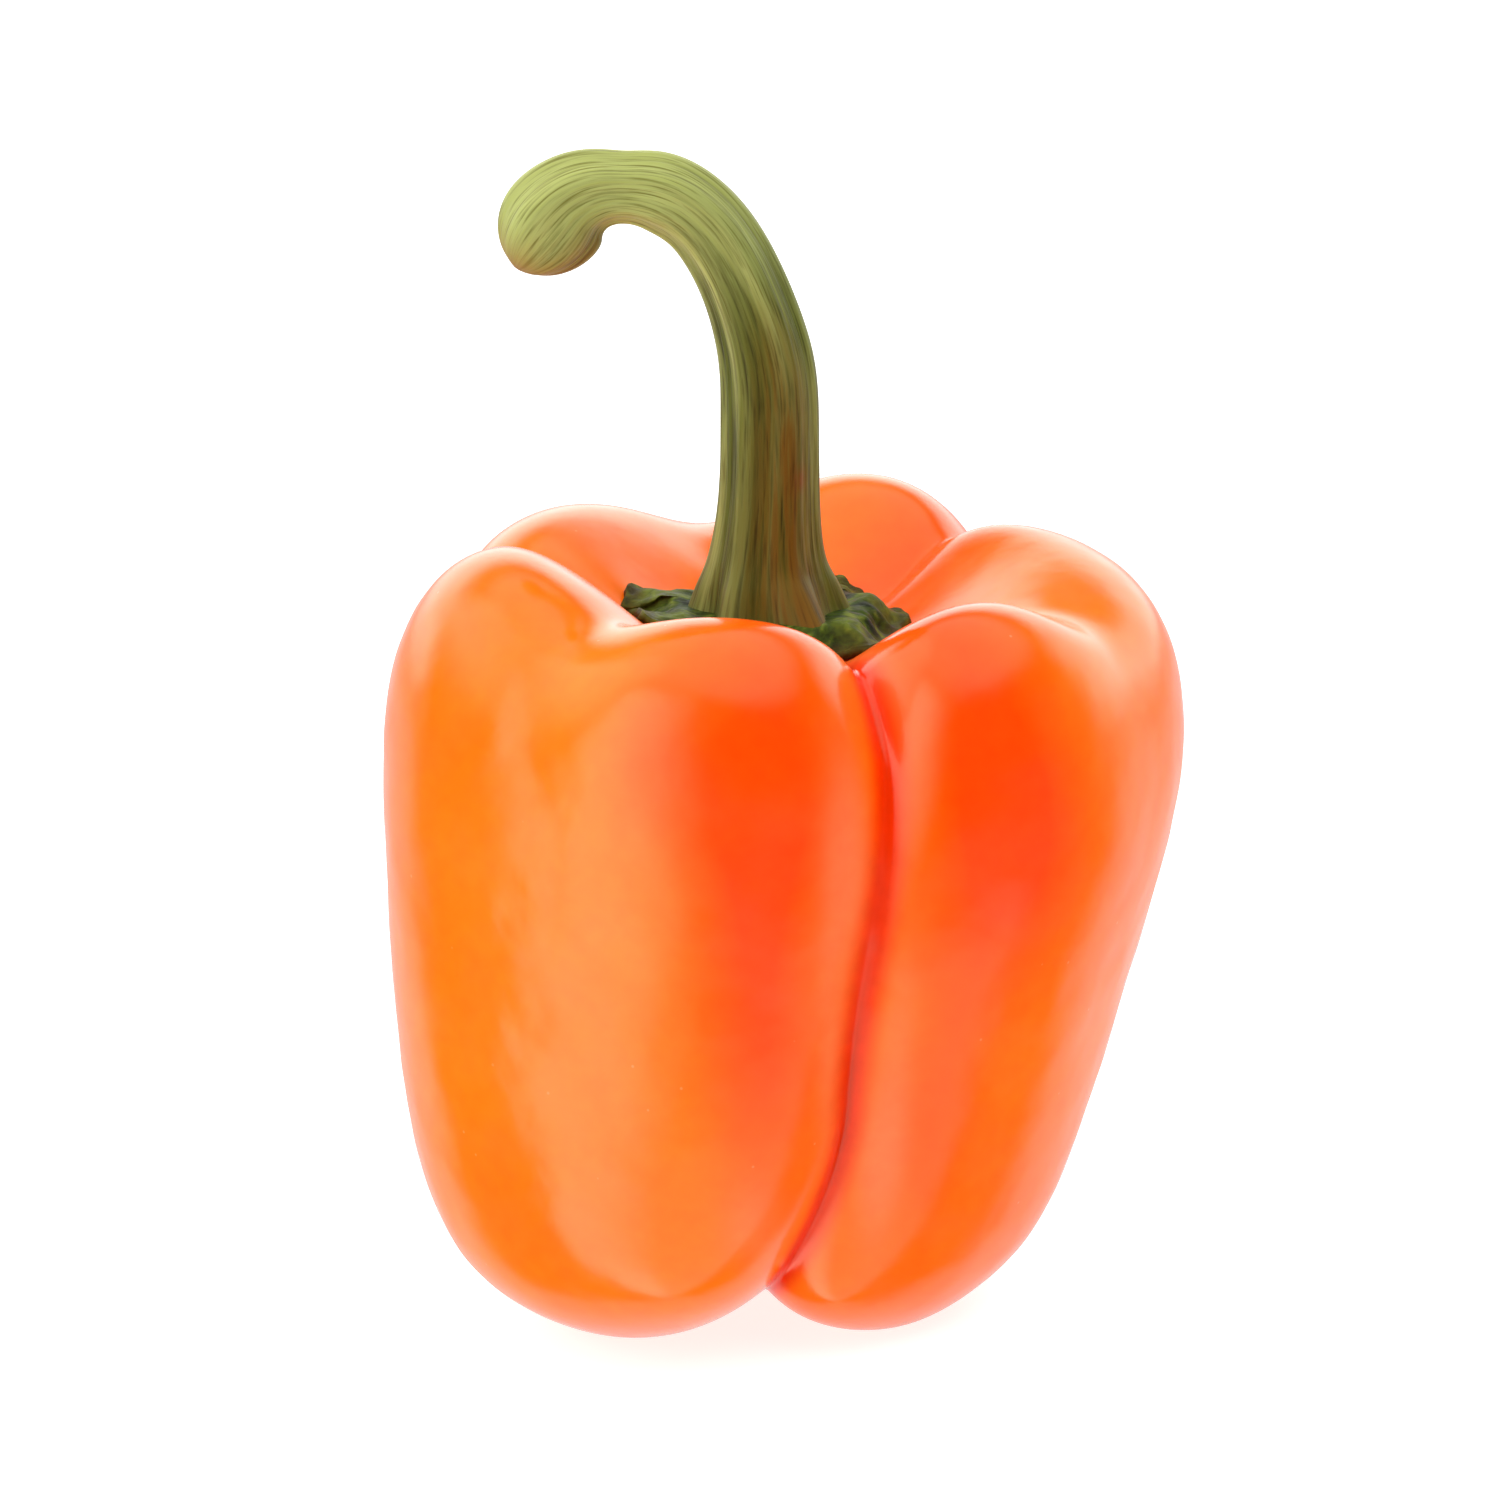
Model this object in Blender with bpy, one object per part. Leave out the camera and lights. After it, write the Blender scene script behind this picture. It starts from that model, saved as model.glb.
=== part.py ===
"""A blocky bell pepper standing on its three lobes, with its green calyx and hooked stem.

Three solids: the fruit, the calyx that lies in the hollow between the fruit's shoulders, and the
stem that stands on the calyx. Metres, +Z up. The origin is on the surface that the pepper stands
on, under the middle of the fruit. -Y is the side with the clearest furrow, and the stem hooks
towards -X.
"""

from collections import namedtuple
from math import radians

import bmesh
import bpy
import numpy as np
from mathutils import Vector
from mathutils.bvhtree import BVHTree

# Driving sizes of the fruit.
FRUIT_RADIUS = 0.0435
FRUIT_HEIGHT = 0.0872  # from the surface to the top of a plain shoulder
HOLLOW_DEPTH = 0.0126  # how far the stem's hollow goes below the shoulders
BLOSSOM_RISE = 0.0090  # how high the underside's middle is above the surface
FLAT_SPOT_DEPTH = 0.0009  # how much of each foot is pressed flat where it rests
FOOT_CURVE = 0.0030  # rise of a lobe's foot from its middle to the furrows
SIDE_FURROW = 0.0034  # how far a shoulder's own furrow cuts in
TOP_FURROW = 0.0062  # how far it cuts down
LONG_DIP = 0.0011  # the shallow trough that runs on down the side below it
TAPER = 0.25  # share of the radius that the slimmest lobe loses at its foot

# Driving sizes of the calyx and the stem.
CALYX_RADIUS = 0.0137  # to the bays between its points
CALYX_POINT_REACH = 0.0024
CALYX_THICKNESS = 0.0020
CALYX_EDGE_THICKNESS = 0.0009
STEM_PLACE = (-0.0016, 0.0)
STEM_BASE_RADIUS = 0.0080
STEM_RADIUS = 0.0050
STEM_NECK_RADIUS = 0.0037
STEM_KNOB_RADIUS = 0.0058
STEM_RISE = 0.0457  # from the calyx to the middle of the arch
HOOK_REACH = 0.0227  # from the upright's foot out to the knob's middle
HOOK_BEND_ROOM = 0.0017  # between the inside of the last turn and the point it turns about
STEM_END_LENGTH = 0.0067  # the rounded cut end
STEM_RIBS = 6
RIB_SHARE = 0.05  # height of a rib as a share of the radius there
PIECE_GAP = 0.0003

# Fineness of the solids.
FRUIT_ROWS = 47
LOBE_COLUMNS = 30
CALYX_COLUMNS = 60
CALYX_RINGS = 7
STEM_ROWS = 34
STEM_END_ROWS = 5
STEM_COLUMNS = 30

# The meridian over a lobe: (share of the radius, share of the way up). The first list goes from
# the middle of the hollow up to the shoulder, with heights as shares of the hollow's depth. The
# second goes on down the side to the flat spot, with heights as shares of the fruit's height. The
# third goes from there to the blossom end, with heights as shares of the blossom end's rise.
LOBE_HOLLOW = ((0.0, 0.0), (0.16, -0.03), (0.30, 0.03), (0.425, 0.35), (0.55, 0.78), (0.69, 1.0))
LOBE_SIDE = (
    (0.84, 0.972),
    (0.956, 0.88),
    (1.0, 0.73),
    (0.993, 0.556),
    (0.984, 0.382),
    (0.952, 0.226),
    (0.85, 0.093),
    (0.667, 0.016),
)
LOBE_UNDER = ((0.49, 0.0), (0.31, 0.33), (0.14, 0.83), (0.0, 1.0))

# The same meridian along a furrow between two lobes, point for point.
FURROW_HOLLOW = (
    (0.0, 0.0),
    (0.15, -0.05),
    (0.265, -0.07),
    (0.355, -0.04),
    (0.45, 0.04),
    (0.565, 0.10),
)
FURROW_SIDE = (
    (0.68, 0.829),
    (0.768, 0.764),
    (0.828, 0.66),
    (0.837, 0.532),
    (0.818, 0.394),
    (0.759, 0.26),
    (0.655, 0.15),
    (0.517, 0.086),
)
FURROW_UNDER = ((0.38, 0.67), (0.24, 0.76), (0.115, 0.93), (0.0, 1.0))
SHOULDER, LOW_SIDE, FOOT = 5, 12, 14  # places of those points in the whole meridian

# A furrow between lobes: its direction at the top, its turn towards the bottom, and the share of
# its depth that it loses as it crosses the shoulders.
Furrow = namedtuple("Furrow", "angle turn filled")
FURROWS = (
    Furrow(radians(168), radians(-12), 0.25),
    Furrow(radians(289), radians(-30), 0.0),
    Furrow(radians(407), radians(-15), 0.38),
)
FURROW_WIDTH = radians(15)
FURROW_ROUNDING = radians(1.2)

# A shoulder: its direction, how much higher than plain it stands and how much further out.
Shoulder = namedtuple("Shoulder", "angle rise reach")
SHOULDERS = (
    Shoulder(radians(198), 0.0016, 0.0019),
    Shoulder(radians(260), -0.0013, 0.0),
    Shoulder(radians(313), -0.0012, -0.0006),
    Shoulder(radians(373), -0.0038, 0.0012),
    Shoulder(radians(421), 0.0010, 0.0003),
    Shoulder(radians(513), -0.0020, 0.0026),
)
SHOULDER_FOCUS = 9.0

# Between the two shoulders of a lobe: direction and relative depth of the short furrow.
ShortFurrow = namedtuple("ShortFurrow", "angle depth")
SHORT_FURROWS = (
    ShortFurrow(radians(229), 1.0),
    ShortFurrow(radians(340), 1.0),
    ShortFurrow(radians(463), 1.45),
)
SHORT_WIDTH = radians(16)
SHORT_ROUNDING = radians(7)
DIP_WIDTH = radians(17)
DIP_OFFSET = radians(6)

# How slim each lobe gets towards its foot: direction and share of TAPER.
SLIMMING = ((radians(215), 0.06), (radians(350), 1.05), (radians(468), 0.4))
SLIMMING_FOCUS = 3.0

# The calyx's points: direction and relative reach.
CALYX_POINTS = (
    (radians(18), 1.0),
    (radians(57), 1.1),
    (radians(108), 0.8),
    (radians(158), 1.5),
    (radians(207), 0.9),
    (radians(262), 1.1),
    (radians(318), 0.8),
)
POINT_WIDTH = radians(13)

# The stem's line from the calyx to the top of its arch: shares of the hook's reach and of the
# rise, how much of the foot's extra radius it still has, and how far it has slimmed to the neck.
STEM_LINE = (
    (0.0, 0.0, 1.0, 0.0),
    (0.006, 0.097, 0.42, 0.0),
    (-0.001, 0.217, 0.10, 0.0),
    (-0.008, 0.414, 0.0, 0.0),
    (0.009, 0.578, 0.0, 0.13),
    (0.06, 0.685, 0.0, 0.38),
    (0.132, 0.782, 0.0, 0.54),
    (0.224, 0.869, 0.0, 0.62),
    (0.34, 0.939, 0.0, 0.67),
    (0.533, 0.992, 0.0, 0.75),
)
# The last turn, down to the knob: how far it has turned, and how far it has swollen.
LAST_TURN = ((0, 0.0), (21, 0.14), (41, 0.42), (58, 0.7), (75, 1.0))
BACK_LEAN = 0.0012  # how far the upright bows back out of the hook's plane

SKIN = ("pepper_skin", (0.90, 0.14, 0.005, 1.0), 0.28)
CALYX_GREEN = ("calyx_green", (0.045, 0.085, 0.022, 1.0), 0.6)
STEM_GREEN = ("stem_green", (0.22, 0.24, 0.07, 1.0), 0.6)


def clear_scene():
    for old in list(bpy.data.objects):
        bpy.data.objects.remove(old)


def spline(knots, values, places):
    """The natural cubic spline through values at the knots, read at places."""
    values = np.asarray(values, float)
    gaps = np.diff(knots)
    matrix = np.eye(len(knots))
    right = np.zeros_like(values)
    slopes = np.diff(values, axis=0) / gaps[:, None]
    for i in range(1, len(knots) - 1):
        matrix[i, i - 1 : i + 2] = gaps[i - 1], 2 * (gaps[i - 1] + gaps[i]), gaps[i]
        right[i] = 6 * (slopes[i] - slopes[i - 1])
    bend = np.linalg.solve(matrix, right)
    i = np.clip(np.searchsorted(knots, places) - 1, 0, len(gaps) - 1)
    gap = gaps[i][:, None]
    before = (knots[i + 1] - places)[:, None] / gap
    after = 1 - before
    bulge = (before**3 - before) * bend[i] + (after**3 - after) * bend[i + 1]
    return before * values[i] + after * values[i + 1] + bulge * gap**2 / 6


def chord_knots(points):
    """Knots from 0 to 1, spaced as the points are."""
    steps = np.linalg.norm(np.diff(points, axis=0), axis=1)
    along = np.concatenate([[0.0], np.cumsum(steps)])
    return along / along[-1]


def ease(values, start, end):
    """0 before start, 1 after end, and smooth between."""
    share = np.clip((values - start) / (end - start), 0, 1)
    return share * share * (3 - 2 * share)


def bell(values, middle, width):
    return np.exp(-(((values - middle) / width) ** 2))


def turn_between(angles, other):
    """The angle from other to each angle, between half a turn back and half a turn on."""
    return (angles - other + np.pi) % (2 * np.pi) - np.pi


def crease(turns, width, rounding):
    """1 on a furrow's line, falling off steeply and then gently on both sides."""
    return np.exp(-(np.hypot(turns, rounding) - rounding) / width)


def blend_round(angles, places, values, focus):
    """A value that passes smoothly round the fruit between those given at a few directions."""
    weights = [np.exp(focus * (np.cos(angles - place) - 1)) for place in places]
    total = sum(weight * value for weight, value in zip(weights, values))
    return total / sum(weights)


def meridian(hollow, side, under):
    """A meridian's points in metres, from its three lists of shares."""
    floor = FRUIT_HEIGHT - HOLLOW_DEPTH
    points = [(r * FRUIT_RADIUS, floor + up * HOLLOW_DEPTH) for r, up in hollow]
    points += [(r * FRUIT_RADIUS, up * FRUIT_HEIGHT) for r, up in side]
    span = BLOSSOM_RISE + FLAT_SPOT_DEPTH
    points += [(r * FRUIT_RADIUS, up * span - FLAT_SPOT_DEPTH) for r, up in under]
    return np.array(points)


def fruit_grid(rows, lobe_columns):
    """The fruit's points, rows from the hollow's middle to the blossom end, columns round it.

    A column follows each furrow, so that its crease is a clean line of edges.
    """
    lobe_line = meridian(LOBE_HOLLOW, LOBE_SIDE, LOBE_UNDER)
    knots = chord_knots(lobe_line)
    along = np.linspace(0, 1, rows)
    lobe = spline(knots, lobe_line, along)
    furrow = spline(knots, meridian(FURROW_HOLLOW, FURROW_SIDE, FURROW_UNDER), along)
    shoulder, low_side, foot = (knots[i] for i in (SHOULDER, LOW_SIDE, FOOT))

    turning = 0.22 * ease(along, 0.27, 0.60) + 0.78 * ease(along, 0.60, 0.93)
    lines = [f.angle + f.turn * turning for f in FURROWS]
    lines.append(lines[0] + 2 * np.pi)
    share = np.arange(lobe_columns) / lobe_columns
    angles = np.concatenate(
        [a[:, None] + (b - a)[:, None] * share for a, b in zip(lines, lines[1:])], axis=1
    )
    across = np.tile(2 * share - 1, len(FURROWS))  # -1 and 1 in the furrows, 0 mid-lobe
    down = np.broadcast_to(along[:, None], angles.shape)
    radius = np.broadcast_to(lobe[:, :1], angles.shape)
    height = np.broadcast_to(lobe[:, 1:], angles.shape)

    directions = [s.angle for s in SHOULDERS]
    rise = blend_round(angles, directions, [s.rise for s in SHOULDERS], SHOULDER_FOCUS)
    reach = blend_round(angles, directions, [s.reach for s in SHOULDERS], SHOULDER_FOCUS)
    height = height + rise * bell(down, shoulder, 0.13)
    height = height + FOOT_CURVE * across**2 * bell(down, foot, 0.12)
    radius = radius + reach * ease(down, 0.08, 0.25) * (1 - ease(down, 0.75, 0.95))

    slim = TAPER * blend_round(angles, *zip(*SLIMMING), SLIMMING_FOCUS)
    lowness = ease(down, shoulder + 0.16, low_side + 0.03) * (1 - 0.5 * ease(down, foot, 1.0))
    slimming = 1 - slim * lowness
    radius = radius * slimming

    for short in SHORT_FURROWS:
        turns = turn_between(angles, short.angle)
        cut = short.depth * crease(turns, SHORT_WIDTH, SHORT_ROUNDING)
        radius = radius - SIDE_FURROW * cut * bell(down, shoulder + 0.045, 0.115)
        height = height - TOP_FURROW * cut * bell(down, shoulder - 0.01, 0.085)
        trough = bell(turns, DIP_OFFSET, DIP_WIDTH) * ease(down, shoulder + 0.04, shoulder + 0.2)
        radius = radius - LONG_DIP * trough * (1 - ease(down, 0.55, low_side))

    depth = sum(
        crease(turn_between(angles, line[:, None]), FURROW_WIDTH, FURROW_ROUNDING)
        * (1 - f.filled * bell(down, shoulder + 0.045, 0.16))
        for f, line in zip(FURROWS, lines)
    )
    depth = np.minimum(depth, 1.0)
    radius = radius + (furrow[:, :1] * slimming - radius) * depth
    height = height + (furrow[:, 1:] - height) * depth
    height = np.maximum(height, 0.0)
    return np.stack([radius * np.cos(angles), radius * np.sin(angles), height], axis=-1)


def skin_rings(name, rings, material):
    """A closed object from rings of points, counter-clockwise from above and given from the top.

    The first and the last ring close onto their own middles.
    """
    mesh = bmesh.new()
    loops = [[mesh.verts.new(point) for point in ring] for ring in rings]
    for upper, lower in zip(loops, loops[1:]):
        for k in range(len(upper)):
            a, b = upper[k - 1], upper[k]
            c, d = lower[k], lower[k - 1]
            mesh.faces.new((a, d, c, b))
    for loop, first in ((loops[0], True), (loops[-1], False)):
        middle = mesh.verts.new(sum((v.co for v in loop), Vector()) / len(loop))
        for k in range(len(loop)):
            edge = (loop[k - 1], loop[k]) if first else (loop[k], loop[k - 1])
            mesh.faces.new((*edge, middle))
    data = bpy.data.meshes.new(name)
    mesh.to_mesh(data)
    mesh.free()
    data.shade_smooth()
    data.materials.append(material)
    made = bpy.data.objects.new(name, data)
    bpy.context.scene.collection.objects.link(made)
    return made


def plain_material(name, colour, roughness):
    material = bpy.data.materials.new(name)
    material.use_nodes = True
    shader = material.node_tree.nodes["Principled BSDF"]
    shader.inputs["Base Color"].default_value = colour
    shader.inputs["Roughness"].default_value = roughness
    shader.inputs["Metallic"].default_value = 0.0
    return material


def build_fruit():
    grid = fruit_grid(FRUIT_ROWS, LOBE_COLUMNS)
    return skin_rings("fruit", grid[1:-1], plain_material(*SKIN))


def calyx_reach(angles):
    """How far the calyx reaches in each direction."""
    points = sum(
        reach * bell(turn_between(angles, angle), 0, POINT_WIDTH) for angle, reach in CALYX_POINTS
    )
    return CALYX_RADIUS + CALYX_POINT_REACH * points


def build_calyx(fruit):
    """The calyx, laid on the fruit with a flat seat for the stem. Returns it and the seat's height."""
    surface = BVHTree.FromObject(fruit, bpy.context.evaluated_depsgraph_get())
    angles = np.arange(CALYX_COLUMNS) * 2 * np.pi / CALYX_COLUMNS
    reach = calyx_reach(angles)
    seat_share = 1.12 * STEM_BASE_RADIUS / CALYX_RADIUS
    under, over = [], []
    for share in np.linspace(1, 0.12, CALYX_RINGS):
        thin = ease(share, seat_share, 1.0)
        thickness = CALYX_THICKNESS + (CALYX_EDGE_THICKNESS - CALYX_THICKNESS) * thin
        low_ring, high_ring = [], []
        for angle, full in zip(angles, reach):
            x = STEM_PLACE[0] + full * share * np.cos(angle)
            y = STEM_PLACE[1] + full * share * np.sin(angle)
            hit, normal, _, _ = surface.ray_cast(Vector((x, y, 2 * FRUIT_HEIGHT)), Vector((0, 0, -1)))
            low_ring.append(hit + normal * PIECE_GAP * 1.5)
            high_ring.append(hit + normal * (PIECE_GAP * 1.5 + thickness))
        under.append(low_ring)
        over.append(high_ring)
    seat = max(point.z for ring in over[-4:] for point in ring)
    for ring, share in zip(over, np.linspace(1, 0.12, CALYX_RINGS)):
        level = 1 - float(ease(share, seat_share, seat_share + 0.25))
        for point in ring:
            point.z += (seat - point.z) * level
    calyx = skin_rings("calyx", over[::-1] + under, plain_material(*CALYX_GREEN))
    return calyx, seat


def stem_course():
    """The stem's middle line above its place on the calyx, and its radius at the same points."""
    flare = STEM_BASE_RADIUS - STEM_RADIUS
    slimming = STEM_RADIUS - STEM_NECK_RADIUS
    line = [(-out * HOOK_REACH, up * STEM_RISE) for out, up, _, _ in STEM_LINE]
    radii = [STEM_RADIUS + wide * flare - slim * slimming for _, _, wide, slim in STEM_LINE]
    last_turn = radians(LAST_TURN[-1][0])
    pivot_x = (STEM_KNOB_RADIUS + HOOK_BEND_ROOM) * np.sin(last_turn) - HOOK_REACH
    pivot_z = STEM_RISE - STEM_NECK_RADIUS - HOOK_BEND_ROOM
    for degrees, swelling in LAST_TURN:
        turn = radians(degrees)
        radius = STEM_NECK_RADIUS + swelling * (STEM_KNOB_RADIUS - STEM_NECK_RADIUS)
        away = radius + HOOK_BEND_ROOM
        line.append((pivot_x - away * np.sin(turn), pivot_z + away * np.cos(turn)))
        radii.append(radius)
    line = np.array(line)
    lean = BACK_LEAN * np.sin(np.pi * line[:, 1] / STEM_RISE)
    return np.stack([line[:, 0], lean, line[:, 1]], axis=1), np.array(radii)


def build_stem(seat):
    """The stem, from its flat foot just above the calyx to its rounded cut end."""
    line, line_radii = stem_course()
    knots = chord_knots(line)
    along = np.linspace(0, 1, STEM_ROWS)
    places = spline(knots, line, along)
    radii = spline(knots, line_radii[:, None], along)[:, 0]
    ahead = np.gradient(places, axis=0)
    ahead[0] = (0, 0, 1)
    for tilt in np.linspace(0, radians(72), STEM_END_ROWS + 1)[1:]:
        last = ahead[-1] / np.linalg.norm(ahead[-1])
        places = np.vstack([places, places[STEM_ROWS - 1] + last * STEM_END_LENGTH * np.sin(tilt)])
        ahead = np.vstack([ahead, last])
        radii = np.append(radii, radii[STEM_ROWS - 1] * np.cos(tilt))
    start = Vector((*STEM_PLACE, seat + PIECE_GAP))
    rings = []
    for place, step, radius in zip(places, ahead, radii):
        forward = Vector(step).normalized()
        across = Vector((0, 1, 0)).cross(forward).normalized()
        back = forward.cross(across)
        ring = []
        for k in range(STEM_COLUMNS):
            angle = 2 * np.pi * k / STEM_COLUMNS
            size = radius * (1 + RIB_SHARE * np.cos(STEM_RIBS * angle))
            spot = across * float(size * np.cos(angle)) + back * float(size * np.sin(angle))
            ring.append(start + Vector(place) + spot)
        rings.append(ring)
    return skin_rings("stem", rings[::-1], plain_material(*STEM_GREEN))


clear_scene()
fruit = build_fruit()
calyx, seat_height = build_calyx(fruit)
build_stem(seat_height)
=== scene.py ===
"""Looks of a blocky orange bell pepper with its green calyx and hooked stem.

The fruit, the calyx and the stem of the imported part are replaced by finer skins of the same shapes,
each with its own finish, and stand on a pale floor in soft light. Metres, +Z up. The pepper stands
on the floor at the origin, -Y is the side with the clearest furrow, and the stem hooks towards -X.
"""

import logging
import math
from dataclasses import dataclass
from enum import Enum
from functools import partial
from typing import Any, Callable, Iterable, NamedTuple, Sequence

import bpy
import numpy as np
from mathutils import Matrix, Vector, noise
from mathutils.bvhtree import BVHTree


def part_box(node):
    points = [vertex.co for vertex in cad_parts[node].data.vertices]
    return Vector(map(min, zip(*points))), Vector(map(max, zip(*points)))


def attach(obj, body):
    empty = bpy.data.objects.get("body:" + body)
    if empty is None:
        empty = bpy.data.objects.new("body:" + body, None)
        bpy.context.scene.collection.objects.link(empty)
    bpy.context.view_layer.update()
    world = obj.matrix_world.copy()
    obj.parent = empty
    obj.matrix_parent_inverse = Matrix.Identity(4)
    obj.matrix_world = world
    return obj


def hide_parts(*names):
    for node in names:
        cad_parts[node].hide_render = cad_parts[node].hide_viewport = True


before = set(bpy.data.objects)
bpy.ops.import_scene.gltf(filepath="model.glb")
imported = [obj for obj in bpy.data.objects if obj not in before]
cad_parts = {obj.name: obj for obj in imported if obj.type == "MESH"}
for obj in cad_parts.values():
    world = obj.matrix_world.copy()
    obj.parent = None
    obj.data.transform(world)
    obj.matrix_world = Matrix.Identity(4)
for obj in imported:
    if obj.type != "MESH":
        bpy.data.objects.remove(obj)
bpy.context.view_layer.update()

log = logging.getLogger("bell_pepper")

MM = 0.001
ROOT_BODY = "root"
ABOVE_ALL = 0.2  # a height over everything on the floor
DOWNWARD = Vector((0.0, 0.0, -1.0))
SMOOTH = {"interpolation_type": "SMOOTHSTEP"}


# Small mathematics shared by the pieces.


def ease(values: Any, start: float, end: float) -> Any:
    """0 before start, 1 after end, and smooth between."""
    share = np.clip((values - start) / (end - start), 0.0, 1.0)
    return share * share * (3.0 - 2.0 * share)


def bell(values: Any, middle: float, width: float) -> Any:
    """A bell curve of height 1 round middle."""
    return np.exp(-(((values - middle) / width) ** 2))


def turn_between(angles: Any, other: Any) -> Any:
    """The angle from other to each angle, between half a turn back and half a turn on."""
    return (angles - other + np.pi) % (2.0 * np.pi) - np.pi


def crease(turns: Any, width: float, rounding: float) -> Any:
    """1 on a furrow's line, falling off steeply and then gently on both sides."""
    return np.exp(-(np.hypot(turns, rounding) - rounding) / width)


def chord_knots(points: np.ndarray) -> np.ndarray:
    """Knots from 0 to 1, spaced as the points are."""
    steps = np.linalg.norm(np.diff(points, axis=0), axis=1)
    along = np.concatenate([[0.0], np.cumsum(steps)])
    return along / along[-1]


def spline(knots: np.ndarray, values: np.ndarray, places: np.ndarray) -> np.ndarray:
    """Reads the natural cubic spline through given values.

    Args:
        knots: Rising places of the values.
        values: One row for each knot.
        places: Where to read the spline.

    Returns:
        One row for each place.
    """
    values = np.asarray(values, float)
    gaps = np.diff(knots)
    matrix = np.eye(len(knots))
    right = np.zeros_like(values)
    slopes = np.diff(values, axis=0) / gaps[:, None]
    for i in range(1, len(knots) - 1):
        matrix[i, i - 1 : i + 2] = gaps[i - 1], 2.0 * (gaps[i - 1] + gaps[i]), gaps[i]
        right[i] = 6.0 * (slopes[i] - slopes[i - 1])
    bend = np.linalg.solve(matrix, right)
    i = np.clip(np.searchsorted(knots, places) - 1, 0, len(gaps) - 1)
    gap = gaps[i][:, None]
    before = (knots[i + 1] - places)[:, None] / gap
    after = 1.0 - before
    bulge = (before**3 - before) * bend[i] + (after**3 - after) * bend[i + 1]
    return before * values[i] + after * values[i + 1] + bulge * gap**2 / 6.0


def blend_round(
    angles: np.ndarray, places: Iterable[float], values: Iterable[float], focus: float
) -> np.ndarray:
    """A value that passes smoothly round the fruit between those given at a few directions."""
    weights = [np.exp(focus * (np.cos(angles - place) - 1.0)) for place in places]
    total = sum(weight * value for weight, value in zip(weights, values))
    return total / sum(weights)


def lumps(points: np.ndarray, size: float, seed: float, octaves: int = 2) -> np.ndarray:
    """Smooth noise between about -1 and 1 at points, with lumps of the given size.

    Args:
        points: Places in metres, the last axis holding x, y and z.
        size: Width of a lump in metres.
        seed: Moves the pattern, so that two uses differ.
        octaves: How many finer layers are added.

    Returns:
        The noise, shaped as points without its last axis.
    """
    flat = points.reshape(-1, 3) / size + seed
    read = [noise.fractal(Vector(p), 1.0, 2.0, octaves) for p in flat]
    return np.array(read).reshape(points.shape[:-1])


def linear_colour(colour: str) -> tuple[float, float, float, float]:
    """Turns an sRGB hex value such as #FE4E05 into Blender's linear colour."""
    shares = [int(colour[i : i + 2], 16) / 255.0 for i in (1, 3, 5)]
    red, green, blue = (
        c / 12.92 if c <= 0.04045 else ((c + 0.055) / 1.055) ** 2.4 for c in shares
    )
    return red, green, blue, 1.0


# Meshes and nodes.


def mesh_of_rings(
    name: str,
    rings: np.ndarray,
    material: bpy.types.Material,
    attributes: dict[str, np.ndarray] | None = None,
) -> bpy.types.Object:
    """Makes a closed, smooth skin over rings of points.

    Args:
        name: The object's name.
        rings: Points as (ring, place round the ring, xyz), from the top down and
            counter-clockwise from above. The first and last ring close onto their middles.
        material: The skin's finish.
        attributes: Numbers for the finish to read, one or three for each point.

    Returns:
        The new object, in the scene.
    """
    count, around = rings.shape[:2]
    ends = rings[[0, -1]].mean(axis=1)
    points = np.concatenate([rings.reshape(-1, 3), ends])
    here = np.arange(around)
    back = np.roll(here, 1)
    row = np.arange(count - 1)[:, None] * around
    quads = np.stack([row + back, row + around + back, row + around + here, row + here], axis=-1)
    top, bottom = count * around, count * around + 1
    last = (count - 1) * around
    faces = quads.reshape(-1, 4).tolist()
    faces += [(top, int(a), int(b)) for a, b in zip(back, here)]
    faces += [(bottom, int(last + b), int(last + a)) for a, b in zip(back, here)]
    mesh = bpy.data.meshes.new(name)
    mesh.from_pydata(points.tolist(), [], faces)
    mesh.shade_smooth()
    mesh.materials.append(material)
    for key, values in (attributes or {}).items():
        size = values.shape[2] if values.ndim == 3 else 1
        flat = values.reshape(-1, size)
        caps = values[[0, -1]].reshape(2, around, size).mean(axis=1)
        made = mesh.attributes.new(key, "FLOAT_VECTOR" if size == 3 else "FLOAT", "POINT")
        data = np.concatenate([flat, caps]).astype(np.float32).ravel()
        made.data.foreach_set("vector" if size == 3 else "value", data)
    piece = bpy.data.objects.new(name, mesh)
    bpy.context.scene.collection.objects.link(piece)
    return piece


class Mixing(Enum):
    """How a second colour acts on a first."""

    COVER = "MIX"
    DARKEN = "MULTIPLY"


COVER = {"data_type": "RGBA", "blend_type": Mixing.COVER}
DARKEN = {"data_type": "RGBA", "blend_type": Mixing.DARKEN}


def fill_sockets(node: bpy.types.Node, inputs: dict[str, Any] | Sequence[Any]) -> None:
    """Gives a node's inputs their values and links.

    Args:
        node: The node.
        inputs: Values by the input's name, or in the order of the inputs in use. Each is a
            number, a vector, a hex colour or the output to link.
    """
    used = [socket for socket in node.inputs if socket.enabled]
    if isinstance(inputs, dict):
        used = [next(s for s in used if s.name == name) for name in inputs]
        inputs = list(inputs.values())
    for socket, value in zip(used, inputs):
        if isinstance(value, bpy.types.NodeSocket):
            node.id_data.links.new(value, socket)
        elif isinstance(value, str):
            socket.default_value = linear_colour(value)
        else:
            socket.default_value = value


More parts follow.
